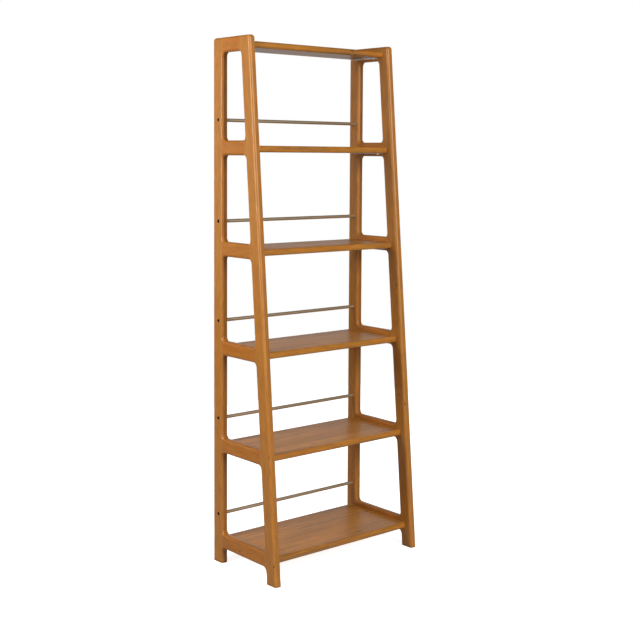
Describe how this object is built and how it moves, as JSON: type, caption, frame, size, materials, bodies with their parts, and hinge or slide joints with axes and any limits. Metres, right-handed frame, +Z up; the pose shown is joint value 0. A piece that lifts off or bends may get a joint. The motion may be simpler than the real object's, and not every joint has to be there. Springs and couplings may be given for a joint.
{
  "type": "ladder shelf",
  "caption": "Tall open storage shelf with leaning wooden side frames, boards that get deeper towards the floor, and slim metal back bars.",
  "frame": {"origin": "on the floor, under the middle of the shelf's overall box", "axes": "+Z up, +X to the shelf's right seen from the front, -Y towards the person using it"},
  "size_m": [0.638, 0.358, 1.8],
  "materials": {
    "post_wood": "solid hardwood with the grain upright, satin lacquer",
    "rail_wood": "solid hardwood with the grain front to back, satin lacquer",
    "shelf_wood": "glued solid staves with the grain left to right, satin lacquer",
    "bar_metal": "steel rod with a satin antique bronze finish",
    "bracket_steel": "zinc plated steel angle",
    "black_screws": "black oxide socket screws",
    "bright_screws": "zinc plated wood screws"
  },
  "bodies": {
    "root": {"left_rear_post": "post_wood", "left_front_post": "post_wood", "left_rail_1": "rail_wood", "left_rail_2": "rail_wood", "left_rail_3": "rail_wood", "left_rail_4": "rail_wood", "left_rail_5": "rail_wood", "left_rail_6": "rail_wood", "right_rear_post": "post_wood", "right_front_post": "post_wood", "right_rail_1": "rail_wood", "right_rail_2": "rail_wood", "right_rail_3": "rail_wood", "right_rail_4": "rail_wood", "right_rail_5": "rail_wood", "right_rail_6": "rail_wood", "shelf_1": "shelf_wood", "shelf_2": "shelf_wood", "shelf_3": "shelf_wood", "shelf_4": "shelf_wood", "shelf_5": "shelf_wood", "shelf_6": "shelf_wood", "back_bar_1": "bar_metal", "back_bar_2": "bar_metal", "back_bar_3": "bar_metal", "back_bar_4": "bar_metal", "back_bar_5": "bar_metal", "left_bracket_1": "bracket_steel", "left_bracket_2": "bracket_steel", "left_bracket_3": "bracket_steel", "left_bracket_4": "bracket_steel", "left_bracket_5": "bracket_steel", "left_bracket_6": "bracket_steel", "right_bracket_1": "bracket_steel", "right_bracket_2": "bracket_steel", "right_bracket_3": "bracket_steel", "right_bracket_4": "bracket_steel", "right_bracket_5": "bracket_steel", "right_bracket_6": "bracket_steel", "left_bar_screws": "black_screws", "left_shelf_screws": "bright_screws", "left_rail_screws": "bright_screws", "right_bar_screws": "black_screws", "right_shelf_screws": "bright_screws", "right_rail_screws": "bright_screws"}
  },
  "joints": []
}
